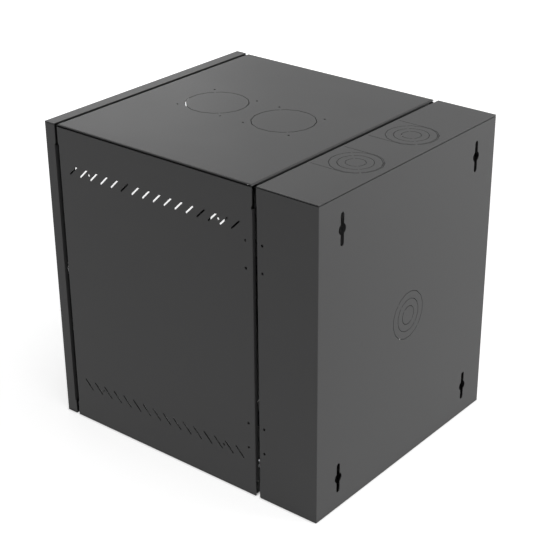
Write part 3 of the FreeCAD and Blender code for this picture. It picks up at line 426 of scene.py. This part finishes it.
def drawn_lines_group():
    """Long fine lines of drawn or brushed metal along Z, with a change of tone from line to line."""
    group, source, out = new_group(
        "drawn_lines",
        [("Colour", "NodeSocketColor", (0.6, 0.6, 0.6, 1)), ("Roughness", "NodeSocketFloat", 0.3)],
        [("Colour", "NodeSocketColor"), ("Roughness", "NodeSocketFloat"), ("Height", "NodeSocketFloat")])
    nodes, link = group.nodes, group.links.new
    place = nodes.new("ShaderNodeTexCoord")
    stretch = nodes.new("ShaderNodeMapping")
    stretch.inputs["Scale"].default_value = (2600.0, 2600.0, 60.0)  # lines in a metre, and waves along one
    link(place.outputs["Object"], stretch.inputs["Vector"])
    lines = noise_node(nodes, link, stretch.outputs["Vector"], scale=1.0, detail=2.0)
    spread = range_node(nodes, link, lines.outputs["Fac"], before=(0.3, 0.7), after=(0.82, 1.12))
    put_out(nodes, link, source, out, factor=spread.outputs[0], height=lines.outputs["Fac"])
    return group


def shared_group(name, make):
    """A shader group by its name, made when it is first asked for."""
    return bpy.data.node_groups.get(name) or make()


# ---------------------------------------------------------------- materials
def base_material(name):
    """A new material, its nodes, and the function that links them."""
    material = bpy.data.materials.new(name)
    material.use_nodes = True
    return material, material.node_tree.nodes, material.node_tree.links.new


def effect_material(name, group, values, relief):
    """A material whose colour, roughness and relief come from a shader group with its own values. Gives the
    material and its shader."""
    material, nodes, link = base_material(name)
    shader = nodes["Principled BSDF"]
    effect = nodes.new("ShaderNodeGroup")
    effect.node_tree = group
    for label, value in values.items():
        effect.inputs[label].default_value = value
    link(effect.outputs["Colour"], shader.inputs["Base Color"])
    link(effect.outputs["Roughness"], shader.inputs["Roughness"])
    bump = nodes.new("ShaderNodeBump")
    bump.inputs["Distance"].default_value = relief
    bump.inputs["Strength"].default_value = 1.0
    link(effect.outputs["Height"], bump.inputs["Height"])
    link(bump.outputs["Normal"], shader.inputs["Normal"])
    return material, shader


def grained(name, colour, roughness, grain, relief, spread, gloss):
    """Material of a surface with a fine pressed or sprayed grain."""
    values = {"Colour": (*colour, 1), "Grain": grain, "Roughness": roughness, "Tone Spread": spread}
    material, shader = effect_material(name, shared_group("powder_grain", powder_grain_group), values, relief)
    shader.inputs["Specular IOR Level"].default_value = gloss
    return material


def plated(name, colour, roughness, relief):
    """Material of bare or plated metal with fine drawn lines."""
    values = {"Colour": (*colour, 1), "Roughness": roughness}
    material, shader = effect_material(name, shared_group("drawn_lines", drawn_lines_group), values, relief)
    shader.inputs["Metallic"].default_value = 1.0
    return material


def clear_glass(name, tint):
    """Clear float glass: smooth, with full transmission."""
    material, nodes, _ = base_material(name)
    shader = nodes["Principled BSDF"]
    shader.inputs["Base Color"].default_value = (*tint, 1)
    shader.inputs["Roughness"].default_value = 0.0
    shader.inputs["IOR"].default_value = 1.5
    shader.inputs["Transmission Weight"].default_value = 1.0
    return material


# grained fittings: their colour among the settings, roughness, grain, relief, change of tone, and gloss
GRAINED_FITTINGS = {
    "rail_steel": ("rail", 0.35, 0.0006, 0.00003, 0.05, 0.5),
    "black_rubber": ("rubber", 0.7, 0.0004, 0.00004, 0.15, 0.3),
    "black_plastic": ("plastic", 0.4, 0.0005, 0.00003, 0.08, 0.5),
}
# plated fittings: their colour among the settings, their roughness, and the relief of the drawn lines
PLATED_FITTINGS = {
    "chrome": ("chrome", 0.12, 0.000002),
    "zinc_steel": ("zinc", 0.32, 0.00001),
    "black_zinc": ("black_zinc", 0.45, 0.00001),
}


def material_for(slot):
    """The material of one of the record's slots, or the latches' black zinc, made once."""
    name = f"cabinet_{slot}"
    if name in bpy.data.materials:
        return bpy.data.materials[name]
    steel, fittings = bpy.context.scene.cabinet_steel, bpy.context.scene.cabinet_fittings
    if slot == "powder_coat":
        return grained(
            name, steel.coat, steel.roughness, steel.grain, steel.relief, steel.spread, steel.gloss)
    if slot in GRAINED_FITTINGS:
        colour, *values = GRAINED_FITTINGS[slot]
        return grained(name, getattr(fittings, colour), *values)
    if slot in PLATED_FITTINGS:
        colour, *values = PLATED_FITTINGS[slot]
        return plated(name, getattr(fittings, colour), *values)
    if slot == "clear_glass":
        return clear_glass(name, fittings.glass)
    raise ValueError(f"no finish for the slot {slot}")


# ---------------------------------------------------------------- operators
class CABINET_OT_finish_frame(bpy.types.Operator):
    """Give every CAD node the material of its slot"""

    bl_idname = "cabinet.finish_frame"
    bl_label = "Finish Frame"

    def execute(self, context):
        for node, slot in SLOT_OF.items():
            data = frame["nodes"][node].data
            data.materials.clear()
            data.materials.append(material_for("black_zinc" if node in BLACKENED else slot))
        return {"FINISHED"}


def hex_head(seat, axis, across, height, sizes):
    """Hexagon head with a washer face below, a turned chamfer on top and a shallow round recess."""
    apothem, corner = across / 2, across / math.sqrt(3)
    washer, crown, drop = apothem * HEAD_WASHER, apothem * HEX_CROWN, HEX_SLOPE * (corner - apothem)
    rim, floor = (apothem * share for share in HEAD_RECESS)
    profile = [
        (washer, 0), (washer, sizes.edge), (corner, sizes.edge), (corner, height - drop),
        (crown, height), (rim, height), (floor, height - sizes.edge),
    ]
    return surface(aimed(turned(profile, sizes.segments, hexagon(apothem)), seat, axis))


def hex_nut(seat, axis, across, height, bore, sizes):
    """Nut with both chamfers and a bevelled bore: a closed profile carried round the axis."""
    apothem, corner = across / 2, across / math.sqrt(3)
    crown, drop = apothem * HEX_CROWN, HEX_SLOPE * (corner - apothem)
    bevel = min(NUT_BEVEL * bore, (crown - bore) / 2)
    profile = [
        (bore + bevel, sizes.seat_gap), (crown, sizes.seat_gap), (corner, drop), (corner, height - drop),
        (crown, height), (bore + bevel, height), (bore, height - bevel), (bore, bevel),
    ]
    return surface(aimed(turned(profile, sizes.segments, hexagon(apothem)), seat, axis), wrap_u=True)


def threaded_rod(start, axis, diameter, length, sizes):
    """Threaded bar with a tip chamfered to the thread's root: even rows, whose radius is that of a helix."""
    pitch, outer = PITCH_RATIO * diameter, diameter / 2
    rows = int(length / pitch * sizes.thread_rows)
    height = np.linspace(0, length, rows)
    chamfer = np.clip(height - (length - pitch), 0, None) * THREAD_DEPTH
    profile = np.stack([outer - chamfer, height], axis=1)
    grid = turned(profile, sizes.thread_segments, helix(outer, pitch, 0, length - pitch / 2))
    return surface(aimed(grid, start, axis))


class CABINET_OT_make_screws(bpy.types.Operator):
    """Replace the plain screws and nuts of the hinges and rails by threaded ones"""

    bl_idname = "cabinet.make_screws"
    bl_label = "Make Screws"

    def execute(self, context):
        sizes = context.scene.cabinet_details
        for node in ("wall_hinge_screws", "swing_hinge_screws"):
            self.pairs(node, "+X", sizes)
        for side, axis in (("right", "+X"), ("left", "-X")):
            for row in ("front", "rear"):
                self.pairs(f"{row}_{side}_rail_bolts", axis, sizes)
        return {"FINISHED"}

    def pairs(self, node, axis, sizes):
        """Screws and nuts along an axis; the longer solid of a pair is the screw, whose head comes first."""
        step = along(axis)[0]
        shapes = []
        for start, length, across, _ in spans(node, axis):
            diameter = across / HEX_RATIO
            head = HEAD_RATIO * diameter
            if length > 2 * head + sizes.edge:
                seat = start + step * head
                shapes.append(hex_head(seat, against(axis), across, head, sizes))
                shank = length - head + sizes.edge
                shapes.append(threaded_rod(seat - step * sizes.edge, axis, diameter, shank, sizes))
            else:
                shapes.append(hex_nut(start, axis, across, length, diameter / 2, sizes))
        fit(merged(f"{node}_threaded", shapes), [node])


class CABINET_OT_make_studs(bpy.types.Operator):
    """Replace the plain weld studs and their nuts by threaded ones"""

    bl_idname = "cabinet.make_studs"
    bl_label = "Make Studs"
    flange_edges = 5  # height of a stud's flange over the edge's rounding

    def execute(self, context):
        sizes = context.scene.cabinet_details
        self.studs("glass_clip_studs", "+Y", False, sizes)
        self.studs("wall_earth_stud", "+Z", True, sizes)
        self.studs("swing_earth_stud", "+Z", True, sizes)
        return {"FINISHED"}

    def studs(self, node, axis, flanged, sizes):
        """Studs and nuts along an axis; a stud is longer than it is wide, and its flange twice as wide."""
        shapes = []
        for start, length, across, corner in spans(node, axis):
            if length < corner:
                diameter = across / HEX_RATIO
                shapes.append(hex_nut(start, axis, across, length, diameter / 2, sizes))
                continue
            diameter = across / 2 if flanged else corner
            shapes.append(threaded_rod(start, axis, diameter, length, sizes))
            if flanged:
                height = self.flange_edges * sizes.edge
                profile = [(diameter, 0), (diameter, height - sizes.edge), (diameter - sizes.edge, height)]
                shapes.append(surface(aimed(turned(profile, sizes.segments), start, axis)))
        fit(merged(f"{node}_threaded", shapes), [node])


class CABINET_OT_make_buffers(bpy.types.Operator):
    """Replace the plain buffers by domed rubber ones"""

    bl_idname = "cabinet.make_buffers"
    bl_label = "Make Buffers"
    dome_share = 0.3  # radius of the dome over the buffer's height
    foot = (0.9, 0.08)  # radius of the foot over the buffer's, and height of its slope over the buffer's

    def execute(self, context):
        sizes = context.scene.cabinet_details
        for node in ("swing_buffers", "door_buffers"):
            shapes = []
            for start, length, across, _ in spans(node, "-Y"):
                radius, crown = across / 2, self.dome_share * length
                dome = arc((radius - crown, length - crown), crown, 0, TURN / 4, 9)
                profile = np.vstack([[(radius * self.foot[0], 0), (radius, self.foot[1] * length)], dome])
                shapes.append(surface(aimed(turned(profile, sizes.segments), start, "-Y")))
            fit(merged(f"{node}_domed", shapes), [node])
        return {"FINISHED"}


class CABINET_OT_make_knobs(bpy.types.Operator):
    """Replace the latches' plain knobs by knurled ones"""

    bl_idname = "cabinet.make_knobs"
    bl_label = "Make Knobs"
    bore_share = 0.19  # radius of the bore over the knob's width
    rib_points = 6  # points around the rim for each rib
    # radius over the rim's, and height over the knob's
    outline = ((0.85, 0), (1, 0.1), (1, 0.45), (1, 0.8), (0.85, 0.92), (0.55, 1))

    def execute(self, context):
        sizes = context.scene.cabinet_details
        for node in ("upper_latch_knob", "lower_latch_knob"):
            start, length, across, _ = spans(node, "+X")[0]
            rim = across / 2 / (1 + sizes.knob_rib)
            bore = self.bore_share * across
            outline = [(rim * radius, length * height) for radius, height in self.outline]
            profile = [(bore, 0), *outline, (bore, length)]
            ribbed = ribs(sizes.knob_ribs, rim, sizes.knob_rib)
            grid = turned(profile, self.rib_points * sizes.knob_ribs, ribbed)
            fit(merged(f"{node}_knurled", [surface(aimed(grid, start, "+X"), wrap_u=True)]), [node])
        return {"FINISHED"}


class CABINET_OT_make_seal(bpy.types.Operator):
    """Replace the window's plain seal by a moulded channel with round corners"""

    bl_idname = "cabinet.make_seal"
    bl_label = "Make Seal"

    def execute(self, context):
        sizes = context.scene.cabinet_details
        low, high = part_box("window_seal")
        glass_low, glass_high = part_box("window_glass")
        depth, wall, inner = high.y - low.y, glass_low.y - low.y, high.x - glass_high.x
        reach, edge = sizes.seal_width, sizes.seal_round
        crest = (reach + edge / 2, wall / 2)
        # section of the channel: distance in from the outer edge, and place along the depth
        section = np.array([
            (0, edge), (edge, 0), (reach, 0), crest, (reach, wall), (inner, wall),
            (inner, depth - wall), (reach, depth - wall), (crest[0], depth - crest[1]), (reach, depth),
            (edge, depth), (0, depth - edge),
        ])
        x, z = self.path(high.x, high.z, section[:, 0], sizes.seal_corner)
        y = low.y + np.broadcast_to(section[:, 1], x.shape)
        grid = np.stack([x, y, z], axis=-1)
        fit(merged("window_seal_moulded", [surface(grid[::-1], wrap_u=True)]), ["window_seal"])
        return {"FINISHED"}

    def path(self, half_x, half_z, inset, corner):
        """A rectangle with round corners, at each inset from the outer one: four quarter circles about their
        centres, whose radius is the outer radius less the inset and never less than a small one."""
        steps, least = 9, corner / 80
        sign_x, sign_z = np.repeat([1, -1, -1, 1], steps), np.repeat([1, 1, -1, -1], steps)
        turn = (np.linspace(0, TURN / 4, steps)[None, :] + np.arange(4)[:, None] * TURN / 4).ravel()
        radius = np.maximum(corner - inset, least)[None, :]
        x = (sign_x * (half_x - corner))[:, None] + radius * np.cos(turn)[:, None]
        z = (sign_z * (half_z - corner))[:, None] + radius * np.sin(turn)[:, None]
        return x, z


class CABINET_OT_make_hinge_pins(bpy.types.Operator):
    """Replace the swing hinges' plain pins by pins with a rounded tip"""

    bl_idname = "cabinet.make_hinge_pins"
    bl_label = "Make Hinge Pins"
    tip_share = 0.95  # share of a quarter turn that the tip's arc covers

    def execute(self, context):
        sizes = context.scene.cabinet_details
        shapes = []
        for start, length, across, _ in spans("swing_hinge_pins", "+Z"):
            radius = across / 2
            tip = arc((0, length - radius), radius, 0, self.tip_share * TURN / 4, 8)
            profile = np.vstack([[(radius - sizes.edge, 0), (radius, sizes.edge)], tip])
            shapes.append(surface(aimed(turned(profile, sizes.segments), start, "+Z")))
        fit(merged("swing_hinge_pins_turned", shapes), ["swing_hinge_pins"])
        return {"FINISHED"}


class CABINET_OT_make_lock(bpy.types.Operator):
    """Replace the lock's plain housing, nut and cam screw by turned ones"""

    bl_idname = "cabinet.make_lock"
    bl_label = "Make Lock"
    body_share = 0.36  # radius of the threaded body over the flange's width
    bore_share = 0.505  # radius of the bore over the plug's width
    nut_bore_share = 0.375  # radius of the nut's bore over its width
    rim_share = 0.6  # rounding of the flange's rim over its height

    def execute(self, context):
        sizes = context.scene.cabinet_details
        nut_low, nut_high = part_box("lock_nut")
        start, length, across, _ = spans("lock_barrel", "-Y")[0]
        _, _, plug, _ = spans("lock_plug", "-Y")[0]
        fit(self.housing(start, length, across, plug, nut_high.y - nut_low.y, sizes), ["lock_barrel"])
        start, length, across, _ = spans("lock_nut", "-Y")[0]
        nut = hex_nut(start, "-Y", across, length, self.nut_bore_share * across, sizes)
        fit(merged("lock_nut_bevelled", [nut]), ["lock_nut"])
        start, length, across, _ = spans("lock_cam_screw", "+Y")[0]
        fit(merged("lock_cam_screw_head", [hex_head(start, "+Y", across, length, sizes)]), ["lock_cam_screw"])
        return {"FINISHED"}

    def housing(self, start, length, across, plug, nut_height, sizes):
        """Housing of the lock, threaded up to its flange: a closed profile whose flange has a round rim."""
        flange, body, bore, edge = across / 2, self.body_share * across, self.bore_share * plug, sizes.edge
        seat = length - sizes.lock_flange
        rows = np.linspace(2 * edge, seat, int(seat / sizes.lock_pitch * sizes.thread_rows))
        thread = np.stack([np.full_like(rows, body), rows], axis=1)
        rim_radius = self.rim_share * sizes.lock_flange
        rim = arc((flange - rim_radius, length - rim_radius), rim_radius, 0, TURN / 4, 7)
        profile = np.vstack([
            [(bore, 0), (body - edge, 0)], thread, [(flange - edge, seat), (flange, seat + edge)], rim,
            [(bore + edge, length), (bore, length - edge)],
        ])
        grid = turned(profile, sizes.segments, helix(body, sizes.lock_pitch, edge, seat - nut_height))
        return merged("lock_barrel_turned", [surface(aimed(grid, start, "-Y"), wrap_u=True)])


def area_light(name, place, target, width, power):
    """A soft square lamp that faces a target."""
    light = bpy.data.lights.new(name, "AREA")
    light.size = width
    light.energy = power
    lamp = bpy.data.objects.new(name, light)
    lamp.location = place
    lamp.rotation_euler = (Vector(target) - Vector(place)).to_track_quat("-Z", "Y").to_euler()
    bpy.context.scene.collection.objects.link(lamp)


def white_rays(nodes, link):
    """1 for rays that see the background directly, in a reflection or through glass, and 0 for the others."""
    path = nodes.new("ShaderNodeLightPath")
    either = math_node(nodes, "MAXIMUM")
    link(path.outputs["Is Camera Ray"], either.inputs[0])
    link(path.outputs["Is Glossy Ray"], either.inputs[1])
    both = math_node(nodes, "MAXIMUM")
    link(either.outputs[0], both.inputs[0])
    link(path.outputs["Is Transmission Ray"], both.inputs[1])
    return both.outputs[0]


# lamps of the studio: place, place that the lamp faces, width, and the setting that holds its power
LAMPS = {
    "corner_light": ((2.3, 2.4, 1.2), (0, -0.3, 0), 3.0, "corner_power"),
    "rear_light": ((-2.0, 2.6, 0.8), (0, -0.3, 0), 2.5, "rear_power"),
    "front_light": ((-1.5, -3.0, 0.3), (0, -0.3, 0), 2.0, "front_power"),
    "top_light": ((0.0, 0.15, 2.4), (0.0, 0.15, 0.0), 1.2, "top_power"),
}


class CABINET_OT_set_stage(bpy.types.Operator):
    """Set the floor, the lights, the background and the camera"""

    bl_idname = "cabinet.set_stage"
    bl_label = "Set Stage"
    floor_gap = 0.0002  # air between the cabinet and the floor
    floor_reach = 15.0  # half the floor's width

    def execute(self, context):
        studio = context.scene.cabinet_studio
        self.floor(studio)
        self.world(context, studio)
        for name, (place, target, width, power) in LAMPS.items():
            area_light(name, place, target, width, getattr(studio, power))
        self.camera(context, studio)
        context.scene.view_settings.view_transform = "Standard"
        return {"FINISHED"}

    def floor(self, studio):
        """A wide flat sheet just under the cabinet, which seems white except for the cabinet's shadow: the
        lamps' shadow, and a painted shade where the glow is darkened near the cabinet.
        """
        level = CAD_BOX[0][2] - self.floor_gap
        side = np.array([-self.floor_reach, self.floor_reach])
        x, y = np.meshgrid(side, side, indexing="ij")
        grid = np.stack([x, y, np.full_like(x, level)], axis=-1)
        floor = merged("studio_floor", [surface(grid[:, ::-1], wrap_v=False, caps=False)])
        material, nodes, link = base_material("studio_floor")
        shader = nodes["Principled BSDF"]
        shader.inputs["Base Color"].default_value = (*studio.floor, 1)
        shader.inputs["Roughness"].default_value = 0.9
        shader.inputs["Emission Color"].default_value = (1, 1, 1, 1)
        glow = math_node(nodes, "MULTIPLY")
        link(white_rays(nodes, link), glow.inputs[0])
        link(self.far_white(nodes, link, studio), glow.inputs[1])
        # painted contact shade: ambient occlusion darkens the floor's glow under and beside the cabinet
        shade = nodes.new("ShaderNodeAmbientOcclusion")
        shade.inputs["Distance"].default_value = studio.painted_shade_reach
        glow_with_painted_shade = math_node(nodes, "MULTIPLY")
        link(glow.outputs[0], glow_with_painted_shade.inputs[0])
        link(shade.outputs["AO"], glow_with_painted_shade.inputs[1])
        link(glow_with_painted_shade.outputs[0], shader.inputs["Emission Strength"])
        floor.data.materials.append(material)

    def far_white(self, nodes, link, studio):
        """Glow of the floor, which rises to full white away from the cabinet, where the lamps don't reach."""
        place = nodes.new("ShaderNodeTexCoord")
        distance = nodes.new("ShaderNodeVectorMath")
        distance.operation = "LENGTH"
        link(place.outputs["Object"], distance.inputs[0])
        reach, glow = (studio.glow_start, studio.glow_end), (studio.floor_glow, 1.0)
        rise = range_node(nodes, link, distance.outputs["Value"], before=reach, after=glow)
        rise.interpolation_type = "SMOOTHSTEP"
        return rise.outputs[0]

    def world(self, context, studio):
        """Even light from a white world, which is pure white where it is seen."""
        world = bpy.data.worlds.new("studio_world")
        world.use_nodes = True
        nodes, link = world.node_tree.nodes, world.node_tree.links.new
        backdrop = nodes["Background"]
        backdrop.inputs["Color"].default_value = (1, 1, 1, 1)
        level = nodes.new("ShaderNodeMix")
        level.data_type = "FLOAT"
        level.inputs["A"].default_value = studio.ambient
        level.inputs["B"].default_value = 1.0
        link(white_rays(nodes, link), level.inputs["Factor"])
        link(level.outputs["Result"], backdrop.inputs["Strength"])
        context.scene.world = world

    def camera(self, context, studio):
        """The camera, which stands behind, above and to the right of the cabinet."""
        lens = bpy.data.cameras.new("camera")
        lens.sensor_width = 36.0
        lens.lens = studio.lens
        lens.shift_x, lens.shift_y = studio.shift
        lens.clip_end = 100.0
        camera = bpy.data.objects.new("camera", lens)
        camera.location = studio.camera_place
        camera.rotation_euler = studio.camera_turn
        context.scene.collection.objects.link(camera)
        context.scene.camera = camera


# ---------------------------------------------------------------- panel and registration
STEPS = (
    CABINET_OT_finish_frame, CABINET_OT_make_screws, CABINET_OT_make_studs, CABINET_OT_make_buffers,
    CABINET_OT_make_knobs, CABINET_OT_make_seal, CABINET_OT_make_hinge_pins, CABINET_OT_make_lock,
    CABINET_OT_set_stage,
)
SETTINGS = {
    "cabinet_steel": SteelFinish,
    "cabinet_fittings": FittingFinish,
    "cabinet_details": DetailSizes,
    "cabinet_studio": StudioSettings,
}


class CABINET_PT_looks(bpy.types.Panel):
    """Settings and steps of the cabinet's looks"""

    bl_idname = "CABINET_PT_looks"
    bl_label = "Cabinet Looks"
    bl_space_type = "VIEW_3D"
    bl_region_type = "UI"
    bl_category = "Cabinet"

    def draw(self, context):
        for name, kind in SETTINGS.items():
            box = self.layout.box()
            box.label(text=kind.__doc__)
            settings = getattr(context.scene, name)
            for field in kind.__annotations__:
                box.prop(settings, field)
        for step in STEPS:
            self.layout.operator(step.bl_idname)


def register():
    """Makes the settings, the steps and the panel known."""
    for kind in (*SETTINGS.values(), *STEPS, CABINET_PT_looks):
        bpy.utils.register_class(kind)
    for name, kind in SETTINGS.items():
        setattr(bpy.types.Scene, name, PointerProperty(type=kind))


def unregister():
    """Takes the settings, the steps and the panel away again."""
    for name in SETTINGS:
        delattr(bpy.types.Scene, name)
    for kind in (CABINET_PT_looks, *reversed(STEPS), *reversed(SETTINGS.values())):
        bpy.utils.unregister_class(kind)


def main():
    """Takes every step in its order."""
    register()
    for step in STEPS:
        group, call = step.bl_idname.split(".")
        getattr(getattr(bpy.ops, group), call)()
    bpy.context.view_layer.update()


if __name__ == "__main__":
    main()
